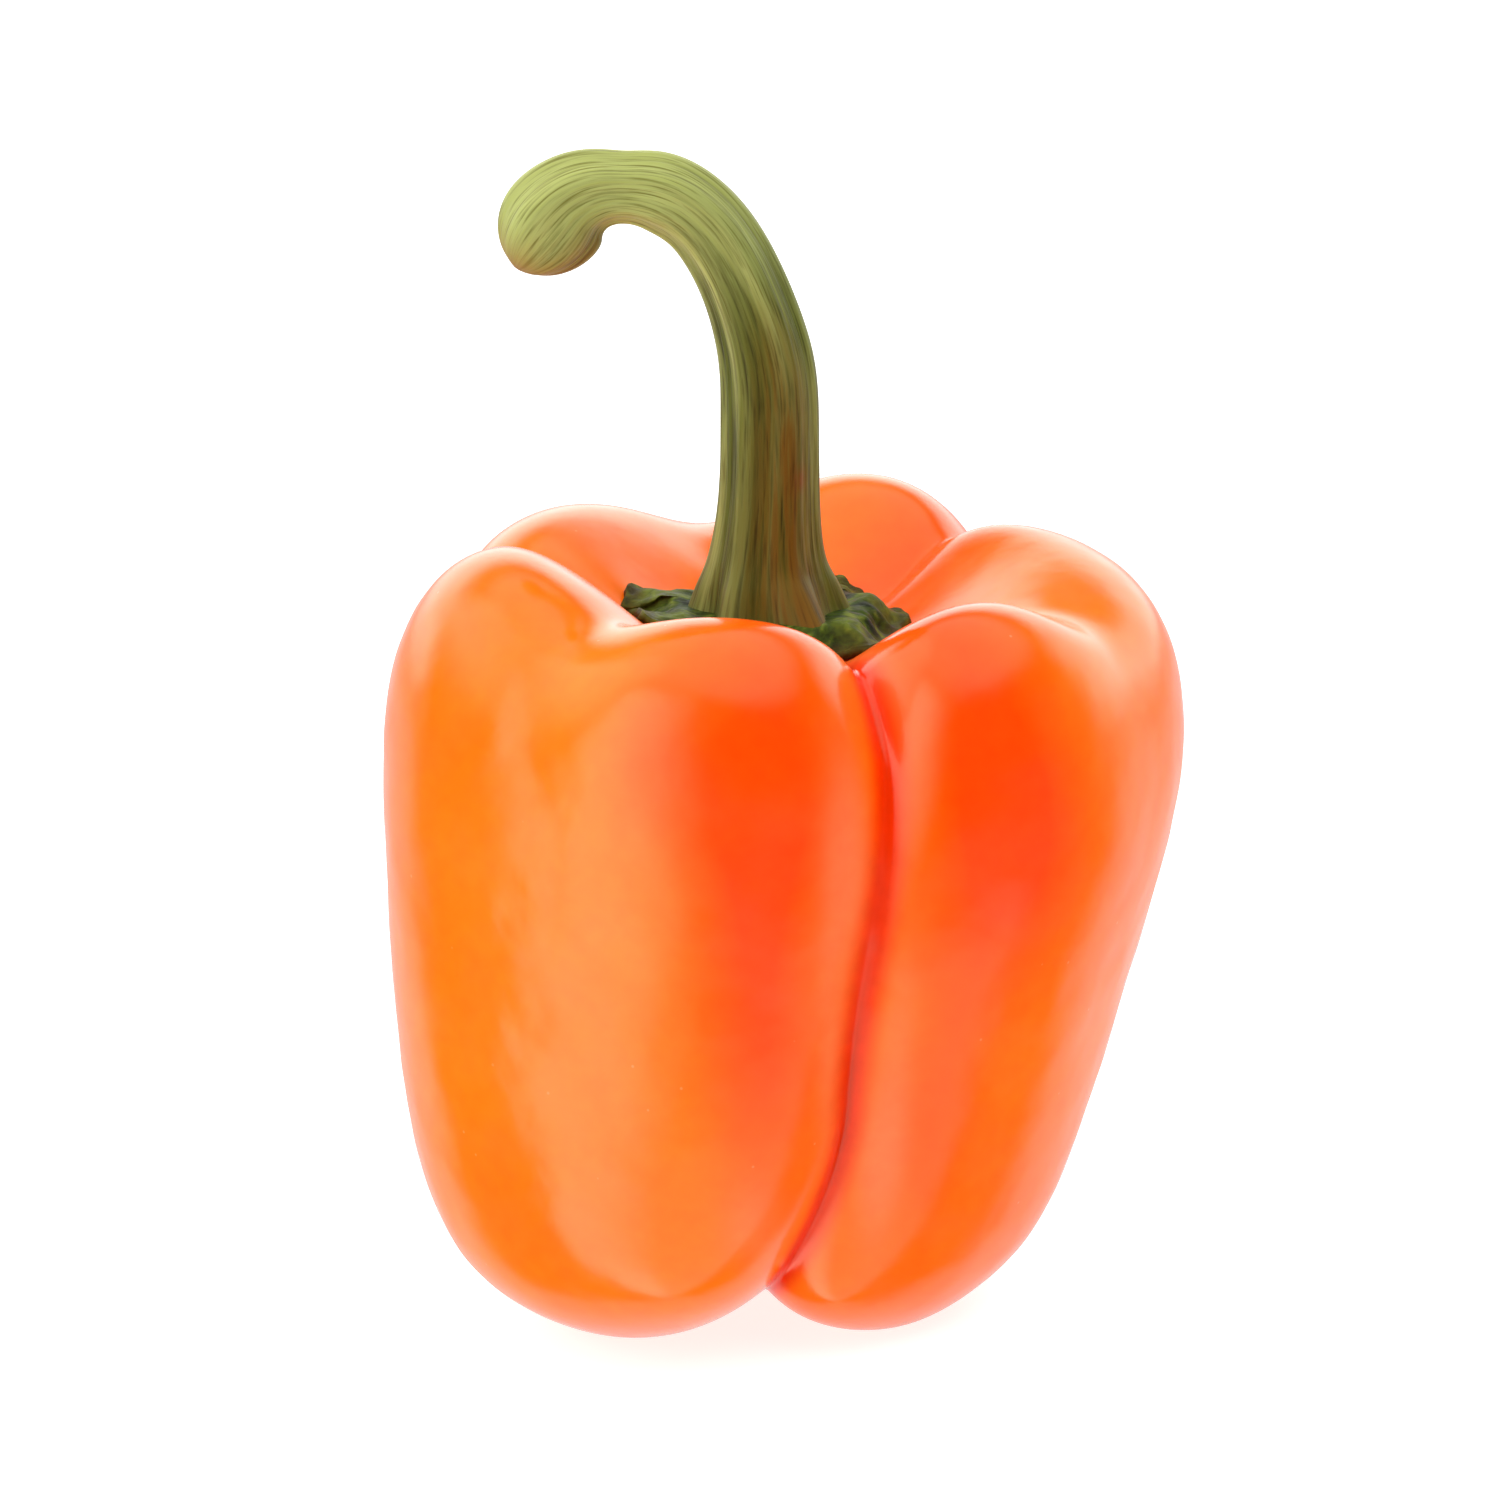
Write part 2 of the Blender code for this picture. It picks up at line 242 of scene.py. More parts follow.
def add_node(
    tree: bpy.types.NodeTree,
    kind: str,
    inputs: dict[str, Any] | Sequence[Any] = (),
    out: str = "",
    stops: Sequence[tuple[float, str]] = (),
    **settings: Any,
) -> bpy.types.NodeSocket:
    """Adds a shader node with its settings and links.

    Args:
        tree: The node tree to add to.
        kind: The node's type without its "ShaderNode" in front.
        inputs: What fill_sockets gives the node.
        out: The name of the output wanted, or nothing for the first in use.
        stops: Places from 0 to 1 and hex colours, for a node with a colour ramp.
        **settings: Properties of the node itself.

    Returns:
        The output wanted.
    """
    node = tree.nodes.new("ShaderNode" + kind)
    for key, value in settings.items():
        setattr(node, key, value.value if isinstance(value, Enum) else value)
    fill_sockets(node, inputs)
    if stops:
        elements = node.color_ramp.elements
        while len(elements) < len(stops):
            elements.new(0.5)
        for element, (place, colour) in zip(elements, stops):
            element.position = place
            element.color = linear_colour(colour)
    return next(s for s in node.outputs if s.enabled and out in ("", s.name))


def new_material(
    name: str,
) -> tuple[bpy.types.Material, Callable[..., bpy.types.NodeSocket], bpy.types.Node]:
    """Makes a material and returns it, what adds nodes to it, and its Principled shader."""
    material = bpy.data.materials.new(name)
    material.use_nodes = True
    tree = material.node_tree
    return material, partial(add_node, tree), tree.nodes["Principled BSDF"]


# Finishes.


@dataclass(frozen=True)
class PepperSkin:
    """Ripe bell-pepper skin: a thin waxy cuticle over juicy, slightly translucent flesh.

    The eye sees a saturated orange that turns from yellowish to reddish over a few centimetres,
    a soft glow where light comes through the flesh, and a clear, slightly uneven gloss.
    """

    ripe: str = "#FF4202"
    orange: str = "#FF5C03"
    pale: str = "#FF7404"
    # painted shade: a darker red that covers the furrows towards their lines
    painted_furrow_shade: str = "#EE2E00"
    # painted shadow: a dark line along the furrows' lines
    painted_crease_shadow: str = "#8A1C00"
    # pale wax bloom, partly a painted highlight where the furrows' lips catch the light
    bloom_and_painted_highlight: str = "#FF8058"
    speck: str = "#FFB27A"
    scuff: str = "#C2480F"
    scar: str = "#8A5A2A"
    gloss: str = "#FFEDC6"  # the wax is faintly yellow
    mottle_size: float = 2.2 * MM
    patch_size: float = 26.0 * MM
    peel_size: float = 0.9 * MM
    dimple_size: float = 6.0 * MM
    speck_spacing: float = 5.5 * MM
    speck_radius: float = 0.15 * MM
    scuff_size: float = 1.7 * MM
    scuff_gap: float = 9.0 * MM  # size of the patches that scuffs come in
    peel_depth: float = 0.03 * MM
    dimple_depth: float = 0.25 * MM
    flesh_depth: float = 3.0 * MM  # how far red light travels in the flesh
    patch_shift: float = 0.1  # how much riper or greener a slow patch is
    bloom_and_highlight_share: float = 0.5
    roughness: tuple[float, float] = (0.15, 0.22)

    def material(self) -> bpy.types.Material:
        """Builds the skin's material."""
        material, add, shader = new_material("waxy_pepper_skin")
        where = add("TexCoord", out="Object")
        ripeness, furrow, painted_crease_shadow, bloom_and_painted_highlight, scar = (
            add("Attribute", attribute_name=name, out="Fac")
            for name in ("ripeness", "furrow", "painted_crease_shadow", "bloom_and_painted_highlight", "blossom_scar")
        )

        patches = add("TexNoise", {"Vector": where, "Scale": 1.0 / self.patch_size, "Detail": 2.0})
        shift = add("MapRange", (patches, 0.3, 0.7, -self.patch_shift, self.patch_shift), **SMOOTH)
        ripe = add("Math", (ripeness, shift), operation="ADD", use_clamp=True)
        stops = ((0.0, self.pale), (0.45, self.orange), (1.0, self.ripe))
        colour = add("ValToRGB", (ripe,), stops=stops)
        # pale wax bloom, partly painted highlight
        bloom_and_highlight_cover = add("MapRange", (bloom_and_painted_highlight, 0.0, 1.0, 0.0, self.bloom_and_highlight_share), **SMOOTH)
        colour = add("Mix", (bloom_and_highlight_cover, colour, self.bloom_and_painted_highlight), **COVER)
        # painted shade, darkening the furrows towards their lines
        deep = add("MapRange", (furrow, 0.76, 1.0, 0.0, 1.0), **SMOOTH)
        colour = add("Mix", (deep, colour, self.painted_furrow_shade), **COVER)
        # painted shadow, a dark line along the furrows' lines
        colour = add("Mix", (painted_crease_shadow, colour, self.painted_crease_shadow), **COVER)

        mottle = add("TexNoise", {"Vector": where, "Scale": 1.0 / self.mottle_size, "Detail": 4.0})
        shade = add("ValToRGB", (mottle,), stops=((0.3, "#F4F4F4"), (0.7, "#FFFFFF")))
        colour = add("Mix", (1.0, colour, shade), **DARKEN)

        spots = add("TexVoronoi", {"Vector": where, "Scale": 1.0 / self.speck_spacing})
        reach = self.speck_radius / self.speck_spacing
        on_spot = add("MapRange", (spots, reach * 0.6, reach * 1.5, 0.25, 0.0), **SMOOTH)
        colour = add("Mix", (on_spot, colour, self.speck), **COVER)

        lengthened = {"Vector": where, "Scale": (1.0, 1.0, 0.45), "Rotation": (0.5, 0.3, 0.0)}
        streaks = {"Scale": 1.0 / self.scuff_size, "Detail": 5.0, "Distortion": 1.2}
        rare = add("TexNoise", {"Vector": add("Mapping", lengthened)} | streaks)
        rare = add("MapRange", (rare, 0.72, 0.75, 0.0, 1.0), **SMOOTH)
        few = add("TexNoise", {"Vector": where, "Scale": 1.0 / self.scuff_gap, "Detail": 1.0})
        few = add("MapRange", (few, 0.62, 0.7, 0.0, 0.5), **SMOOTH)
        scuffed = add("Math", (rare, few), operation="MULTIPLY")
        colour = add("Mix", (scuffed, colour, self.scuff), **COVER)
        colour = add("Mix", (scar, colour, self.scar), **COVER)

        sheen = add("TexNoise", {"Vector": where, "Scale": 1.0 / self.dimple_size, "Detail": 3.0})
        peel = add("TexNoise", {"Vector": where, "Scale": 1.0 / self.peel_size, "Detail": 2.0})
        fine = add("Bump", {"Height": peel, "Strength": 0.22, "Distance": self.peel_depth})
        broad = {"Height": sheen, "Strength": 0.35, "Distance": self.dimple_depth, "Normal": fine}
        values = {
            "Base Color": colour,
            "Roughness": add("MapRange", (sheen, 0.3, 0.7, *self.roughness), **SMOOTH),
            "Normal": add("Bump", broad),
            "IOR": 1.5,
            "Specular Tint": self.gloss,
            "Subsurface Weight": 0.15,
            "Subsurface Radius": (1.0, 0.32, 0.08),
            "Subsurface Scale": self.flesh_depth,
            "Coat Weight": 0.15,
            "Coat Roughness": 0.1,
            "Coat IOR": 1.4,
        }
        fill_sockets(shader, values)
        return material


@dataclass(frozen=True)
class StemTissue:
    """A pepper's stem: tough, ribbed green tissue that has begun to turn corky.

    The eye sees long fibres in olive, yellow-green and brown, a satin shine on the ribs, and
    brown where the end was cut. Painted highlight lightens the rib crests and the arch, and painted
    shade darkens the upright and the inside of the hook's end.
    """

    dark: str = "#34320A"
    olive: str = "#42481A"
    green: str = "#535C22"
    light: str = "#A6AC66"
    brown: str = "#644610"
    rust: str = "#7A2E14"
    gloss: str = "#F6F0B4"
    cut: str = "#8A6420"
    thread_width: float = 0.3 * MM
    fibre_width: float = 0.7 * MM
    streak_width: float = 2.2 * MM
    thread_depth: float = 0.12 * MM
    fibre_depth: float = 0.3 * MM
    roughness: tuple[float, float] = (0.44, 0.6)

    def material(self) -> bpy.types.Material:
        """Builds the stem's material."""
        material, add, shader = new_material("ribbed_pepper_stem")
        fibre = add("Attribute", attribute_name="fibre", out="Vector")
        along, ridge, corky_brown_and_shade, rusty, cut = (
            add("Attribute", attribute_name=name, out="Fac")
            for name in ("stem_share", "ridge", "corky_brown_and_shade", "rusty", "cut_face")
        )
        thin, fine, wide = (
            add(
                "TexNoise",
                {"Vector": fibre, "Scale": 1.0 / size, "Detail": detail, "Distortion": bent},
            )
            for size, detail, bent in (
                (self.thread_width, 3.0, 0.0),
                (self.fibre_width, 4.0, 0.2),
                (self.streak_width, 3.0, 0.3),
            )
        )

        stops = ((0.3, self.olive), (0.5, self.green), (0.76, self.light))
        colour = add("ValToRGB", (wide,), stops=stops)
        # painted light: the arch and the knob are made paler than the upright
        painted_arch_light = add("MapRange", (along, 0.45, 0.85, 0.0, 0.8), **SMOOTH)
        colour = add("Mix", (painted_arch_light, colour, self.light), **COVER)
        # painted highlight: the rib crests are lightened
        painted_ridge_highlight = add("MapRange", (ridge, 0.0, 1.0, 0.0, 0.15), **SMOOTH)
        colour = add("Mix", (painted_ridge_highlight, colour, self.light), **COVER)
        patchy = add("MapRange", (fine, 0.35, 0.6, 0.45, 1.0), **SMOOTH)
        # corky brown on the upright's front right, and painted shade on the inside of the hook's end
        corky_and_shaded = add("Math", (corky_brown_and_shade, patchy), operation="MULTIPLY")
        colour = add("Mix", (corky_and_shaded, colour, self.brown), **COVER)
        # dark fibre lines, kept stronger on the upright than on the arch, which paints shade on the
        # upright
        lines = add("MapRange", (fine, 0.3, 0.5, 0.65, 0.0), **SMOOTH)
        upright_shade_share = add("MapRange", (along, 0.4, 0.75, 1.0, 0.4), **SMOOTH)
        lines = add("Math", (lines, upright_shade_share), operation="MULTIPLY")
        colour = add("Mix", (lines, colour, self.dark), **COVER)
        stops = ((0.3, "#A8A078"), (0.5, "#FFFFFF"), (0.7, "#FFFFEC"))
        threads = add("ValToRGB", (thin,), stops=stops)
        colour = add("Mix", (0.9, colour, threads), **DARKEN)
        colour = add("Mix", (rusty, colour, self.rust), **COVER)
        colour = add("Mix", (cut, colour, self.cut), **COVER)

        low = add("Bump", {"Height": thin, "Strength": 0.5, "Distance": self.thread_depth})
        high = {"Height": fine, "Strength": 0.6, "Distance": self.fibre_depth, "Normal": low}
        values = {
            "Base Color": colour,
            "Roughness": add("MapRange", (fine, 0.3, 0.7, *self.roughness), **SMOOTH),
            "Normal": add("Bump", high),
            "IOR": 1.33,
            "Specular Tint": self.gloss,
            "Subsurface Weight": 0.06,
            "Subsurface Radius": (0.6, 1.0, 0.3),
            "Subsurface Scale": 0.8 * MM,
        }
        fill_sockets(shader, values)
        return material


@dataclass(frozen=True)
class CalyxTissue:
    """A pepper's calyx: leathery green leaf tissue, darker than the stem and dull.

    The eye sees dark green with paler veins towards the points and dry, brownish edges.
    """

    dark: str = "#161A04"
    green: str = "#38480A"
    pale: str = "#727C2C"
    dry: str = "#5E4A1A"
    gloss: str = "#D8E8B0"
    vein_size: float = 1.1 * MM
    vein_depth: float = 0.3 * MM
    patch_size: float = 2.2 * MM
    roughness: tuple[float, float] = (0.5, 0.68)

    def material(self) -> bpy.types.Material:
        """Builds the calyx's material."""
        material, add, shader = new_material("leathery_pepper_calyx")
        where = add("TexCoord", out="Object")
        rib, edge = (add("Attribute", attribute_name=name, out="Fac") for name in ("rib", "edge"))
        rough = {"Vector": where, "Detail": 4.0}
        grain, patches = (
            add("TexNoise", rough | {"Scale": 1.0 / size, "Distortion": bent})
            for size, bent in ((self.vein_size, 0.4), (self.patch_size, 0.6))
        )
        stops = ((0.38, self.dark), (0.54, self.green), (0.7, self.pale))
        colour = add("ValToRGB", (patches,), stops=stops)
        on_rib = add("MapRange", (rib, 0.2, 1.0, 0.0, 0.6), **SMOOTH)
        colour = add("Mix", (on_rib, colour, self.pale), **COVER)
        at_edge = add("MapRange", (edge, 0.5, 1.0, 0.0, 0.5), **SMOOTH)
        colour = add("Mix", (at_edge, colour, self.dry), **COVER)
        shade = add("ValToRGB", (grain,), stops=((0.3, "#A8A8A0"), (0.65, "#FFFFFF")))
        bump = {"Height": grain, "Strength": 0.6, "Distance": self.vein_depth}
        values = {
            "Base Color": add("Mix", (1.0, colour, shade), **DARKEN),
            "Roughness": add("MapRange", (grain, 0.3, 0.7, *self.roughness), **SMOOTH),
            "Normal": add("Bump", bump),
            "IOR": 1.3,
            "Specular Tint": self.gloss,
            "Subsurface Weight": 0.06,
            "Subsurface Radius": (0.5, 1.0, 0.2),
            "Subsurface Scale": 0.8 * MM,
        }
        fill_sockets(shader, values)
        return material


@dataclass(frozen=True)
class PaleFloor:
    """A matt white laminate floor, which gives an even pale ground with a faint grain."""

    white: str = "#BDBCBA"
    shade: str = "#B8B7B4"
    grain_size: float = 40.0 * MM
    glow: float = 0.8  # lightens the shadow, as a lit panel would

    def material(self) -> bpy.types.Material:
        """Builds the floor's material."""
        material, add, shader = new_material("matt_white_laminate")
        where = add("TexCoord", out="Object")
        grain = add("TexNoise", {"Vector": where, "Scale": 1.0 / self.grain_size, "Detail": 3.0})
        values = {
            "Base Color": add("ValToRGB", (grain,), stops=((0.35, self.shade), (0.65, self.white))),
            "Roughness": 0.8,
            "IOR": 1.45,
            "Emission Color": "#FFFFFF",
            "Emission Strength": self.glow,
        }
        fill_sockets(shader, values)
        return material


# The pepper.


class Furrow(NamedTuple):
    """A furrow between two lobes."""

    angle: float  # its direction at the top
    turn: float  # how far it turns towards the bottom
    filled: float  # share of its depth that it loses across the shoulders


class Shoulder(NamedTuple):
    """One of the six shoulders round the hollow."""

    angle: float
    rise: float
    reach: float


class ShortFurrow(NamedTuple):
    """The short furrow between the two shoulders of a lobe."""

    angle: float
    depth: float


class Patch(NamedTuple):
    """A soft-edged patch of skin."""

    angle: float
    height: float
    half_angle: float
    half_height: float
    strength: float


Outline = tuple[tuple[float, float], ...]


@dataclass
class PepperFruit:
    """The fruit: three lobes with two shoulders each round the stem's hollow."""

    radius: float = 43.5 * MM
    height: float = 87.2 * MM
    hollow_depth: float = 12.6 * MM
    blossom_rise: float = 9.0 * MM
    flat_spot_depth: float = 0.9 * MM
    foot_curve: float = 3.0 * MM
    side_furrow: float = 3.4 * MM
    top_furrow: float = 6.2 * MM
    long_dip: float = 1.1 * MM
    taper: float = 0.25
    shoulder_focus: float = 9.0  # how closely a shoulder's rise and reach keep to it
    slimming_focus: float = 3.0
    furrow_width: float = math.radians(15)
    furrow_rounding: float = math.radians(1.2)
    short_width: float = math.radians(16)
    short_rounding: float = math.radians(7)
    dip_width: float = math.radians(17)
    dip_offset: float = math.radians(6)
    rows: int = 250
    lobe_columns: int = 108
    dent_depth: float = 0.22 * MM  # of the slow waves in the skin
    dent_sizes: tuple[float, float] = (17.0 * MM, 6.0 * MM)
    scar_rise: float = 0.5 * MM
    scar_radius: float = 1.6 * MM
    least_ripe: float = 0.12
    # How much of a furrow's turn comes between two shares of the way down.
    turnings: tuple[tuple[float, float, float], ...] = ((0.22, 0.27, 0.60), (0.78, 0.60, 0.93))
    finish: PepperSkin = PepperSkin()

    # Shares of the radius and of the hollow's depth, the fruit's height and the blossom end's
    # rise, over a lobe and along a furrow.
    lobe_hollow: Outline = (
        (0.0, 0.0), (0.16, -0.03), (0.30, 0.03), (0.425, 0.35), (0.55, 0.78), (0.69, 1.0),
    )  # fmt: skip
    lobe_side: Outline = (
        (0.84, 0.972), (0.956, 0.88), (1.0, 0.73), (0.993, 0.556),
        (0.984, 0.382), (0.952, 0.226), (0.85, 0.093), (0.667, 0.016),
    )  # fmt: skip
    lobe_under: Outline = ((0.49, 0.0), (0.31, 0.33), (0.14, 0.83), (0.0, 1.0))
    furrow_hollow: Outline = (
        (0.0, 0.0), (0.15, -0.05), (0.265, -0.07), (0.355, -0.04), (0.45, 0.04), (0.565, 0.10),
    )  # fmt: skip
    furrow_side: Outline = (
        (0.68, 0.829), (0.768, 0.764), (0.828, 0.66), (0.837, 0.532),
        (0.818, 0.394), (0.759, 0.26), (0.655, 0.15), (0.517, 0.086),
    )  # fmt: skip
    furrow_under: Outline = ((0.38, 0.67), (0.24, 0.76), (0.115, 0.93), (0.0, 1.0))

    def __post_init__(self) -> None:
        """Sets the directions of the furrows and shoulders."""
        rad = math.radians
        self.furrows = (
            Furrow(rad(168), rad(-12), 0.25),
            Furrow(rad(289), rad(-30), 0.0),
            Furrow(rad(407), rad(-15), 0.38),
        )
        self.shoulders = (
            Shoulder(rad(198), 1.6 * MM, 1.9 * MM),
            Shoulder(rad(260), -1.3 * MM, 0.0),
            Shoulder(rad(313), -1.2 * MM, -0.6 * MM),
            Shoulder(rad(373), -3.8 * MM, 1.2 * MM),
            Shoulder(rad(421), 1.0 * MM, 0.3 * MM),
            Shoulder(rad(513), -2.0 * MM, 2.6 * MM),
        )
        self.short_furrows = (
            ShortFurrow(rad(229), 1.0),
            ShortFurrow(rad(340), 1.0),
            ShortFurrow(rad(463), 1.45),
        )
        self.slimming = ((rad(215), 0.06), (rad(350), 1.05), (rad(468), 0.4))
        self.ripe_patches = (
            Patch(rad(267), 69 * MM, rad(13), 14 * MM, 1.05),
            Patch(rad(267), 44 * MM, rad(8), 20 * MM, 0.75),
            Patch(rad(251), 73 * MM, rad(7), 9 * MM, 0.4),
            Patch(rad(305), 65 * MM, rad(12), 20 * MM, 1.15),
            Patch(rad(298), 34 * MM, rad(8), 18 * MM, 0.4),
            Patch(rad(328), 55 * MM, rad(14), 32 * MM, 0.15),
            Patch(rad(50), 74 * MM, rad(24), 14 * MM, 0.45),
            Patch(rad(20), 50 * MM, rad(16), 24 * MM, 0.6),
            Patch(rad(95), 56 * MM, rad(18), 22 * MM, 0.8),
            Patch(rad(140), 40 * MM, rad(14), 22 * MM, 0.45),
            Patch(rad(180), 62 * MM, rad(12), 20 * MM, 0.5),
        )
        # pale wax bloom on the furrows' lips, partly painted highlight; the wide patch high at the
        # back left is only a painted reflection
        self.bloom_and_highlight_patches = (
            Patch(rad(280), 60 * MM, rad(4.5), 12 * MM, 0.9),
            Patch(rad(278), 38 * MM, rad(3), 14 * MM, 0.6),
            Patch(rad(265), 19 * MM, rad(6), 7 * MM, 0.6),
            Patch(rad(289.5), 42 * MM, rad(3.5), 12 * MM, 0.5),
            Patch(rad(289), 24 * MM, rad(5), 10 * MM, 0.9),
            Patch(rad(291), 78 * MM, rad(4), 5 * MM, 0.7),
            Patch(rad(39), 50 * MM, rad(4), 18 * MM, 0.6),
            Patch(rad(160), 45 * MM, rad(4), 16 * MM, 0.6),
            Patch(rad(138), 79 * MM, rad(14), 5 * MM, 1.4),
        )

    def _meridian(self, hollow: Outline, side: Outline, under: Outline) -> np.ndarray:
        """A meridian's points in metres, from its three lists of shares."""
        floor = self.height - self.hollow_depth
        span = self.blossom_rise + self.flat_spot_depth
        points = [(r * self.radius, floor + up * self.hollow_depth) for r, up in hollow]
        points += [(r * self.radius, up * self.height) for r, up in side]
        points += [(r * self.radius, up * span - self.flat_spot_depth) for r, up in under]
        return np.array(points)

    def _depth(
        self, angles: np.ndarray, down: np.ndarray, shoulder: float, lines: Sequence[np.ndarray]
    ) -> np.ndarray:
        """How deep each point lies in the long furrows, from 0 on a lobe to 1 on a furrow's line.

        Args:
            angles: Each point's direction.
            down: Each point's share of the way down a meridian.
            shoulder: The share at which the shoulders are highest.
            lines: Each furrow's direction at every row.

        Returns:
            The depth on the same grid.
        """
        depth = sum(
            crease(turn_between(angles, line[:, None]), self.furrow_width, self.furrow_rounding)
            * (1.0 - furrow.filled * bell(down, shoulder + 0.045, 0.16))
            for furrow, line in zip(self.furrows, lines)
        )
        return np.minimum(depth, 1.0)

    @staticmethod
    def _painted(patches: Iterable[Patch], angles: np.ndarray, height: np.ndarray) -> np.ndarray:
        """How strongly patches cover each point."""
        return sum(
            p.strength
            * bell(turn_between(angles, p.angle), 0.0, p.half_angle)
            * bell(height, p.height, p.half_height)
            for p in patches
        )

    def _skin(self) -> tuple[np.ndarray, dict[str, np.ndarray]]:
        """Works out the fruit's points and what its finish reads at each.

        Returns:
            Points as (row, column, xyz) from the hollow's middle to the blossom end, and the
            attributes on the same grid.
        """
        lobe_line = self._meridian(self.lobe_hollow, self.lobe_side, self.lobe_under)
        furrow_line = self._meridian(self.furrow_hollow, self.furrow_side, self.furrow_under)
        knots = chord_knots(lobe_line)
        along = np.linspace(0.0, 1.0, self.rows)
        lobe = spline(knots, lobe_line, along)
        furrow = spline(knots, furrow_line, along)
        first_side = len(self.lobe_hollow)
        first_under = first_side + len(self.lobe_side)
        shoulder, low_side, foot = knots[[first_side - 1, first_under - 2, first_under]]

        turning = sum(part * ease(along, start, end) for part, start, end in self.turnings)
        lines = [f.angle + f.turn * turning for f in self.furrows]
        lines.append(lines[0] + 2.0 * np.pi)
        share = np.arange(self.lobe_columns) / self.lobe_columns
        angles = np.concatenate(
            [a[:, None] + (b - a)[:, None] * share for a, b in zip(lines, lines[1:])], axis=1
        )
        across = np.tile(2.0 * share - 1.0, len(self.furrows))
        down = np.broadcast_to(along[:, None], angles.shape)

        places, rises, reaches = zip(*self.shoulders)
        rise = blend_round(angles, places, rises, self.shoulder_focus)
        reach = blend_round(angles, places, reaches, self.shoulder_focus)
        height = lobe[:, 1:] + rise * bell(down, shoulder, 0.13)
        height = height + self.foot_curve * across**2 * bell(down, foot, 0.12)
        radius = lobe[:, :1] + reach * ease(down, 0.08, 0.25) * (1.0 - ease(down, 0.75, 0.95))

        slim = self.taper * blend_round(angles, *zip(*self.slimming), self.slimming_focus)
        lowness = ease(down, shoulder + 0.16, low_side + 0.03)
        slimming = 1.0 - slim * lowness * (1.0 - 0.5 * ease(down, foot, 1.0))
        radius = radius * slimming

        for short in self.short_furrows:
            turns = turn_between(angles, short.angle)
            deep = short.depth * crease(turns, self.short_width, self.short_rounding)
            radius = radius - self.side_furrow * deep * bell(down, shoulder + 0.045, 0.115)
            height = height - self.top_furrow * deep * bell(down, shoulder - 0.01, 0.085)
            trough = bell(turns, self.dip_offset, self.dip_width)
            trough = trough * ease(down, shoulder + 0.04, shoulder + 0.2)
            radius = radius - self.long_dip * trough * (1.0 - ease(down, 0.55, low_side))

        depth = self._depth(angles, down, shoulder, lines)
        radius = radius + (furrow[:, :1] * slimming - radius) * depth
        height = height + (furrow[:, 1:] - height) * depth

        wide, narrow = self.dent_sizes
        plain = np.stack([radius * np.cos(angles), radius * np.sin(angles), height], axis=-1)
        waves = lumps(plain, wide, 3.7) + 0.35 * lumps(plain, narrow, 8.1)
        spared = ease(down, 0.05, 0.2) * (1.0 - ease(down, low_side, foot))
        radius = radius + self.dent_depth * waves * spared
        dimple = bell(radius, 0.0, self.scar_radius) * (down > 0.5)
        height = np.maximum(height + self.scar_rise * dimple, 0.0)

        grid = np.stack([radius * np.cos(angles), radius * np.sin(angles), height], axis=-1)
        ripeness = self.least_ripe + self._painted(self.ripe_patches, angles, height)
        at_line = np.clip((depth - 0.97) / 0.03, 0.0, 1.0)
        attributes = {
            "ripeness": np.clip(ripeness, 0.0, 1.0),
            "furrow": depth,
            "bloom_and_painted_highlight": np.clip(self._painted(self.bloom_and_highlight_patches, angles, height), 0.0, 1.0),
            # painted shadow along each furrow's line, strongest about a third of the way up
            "painted_crease_shadow": 0.4 * at_line * bell(height, 32 * MM, 12 * MM),
            "blossom_scar": 0.85 * dimple,
        }
        return grid, attributes

    def build(self) -> bpy.types.Object:
        """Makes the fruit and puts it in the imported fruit's place."""
        grid, attributes = self._skin()
        rows = {key: values[1:-1] for key, values in attributes.items()}
        piece = mesh_of_rings("pepper_fruit", grid[1:-1], self.finish.material(), rows)
        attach(piece, ROOT_BODY)
        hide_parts("fruit")
        return piece


class CalyxPoint(NamedTuple):
    """A point of the calyx."""

    angle: float
    reach: float


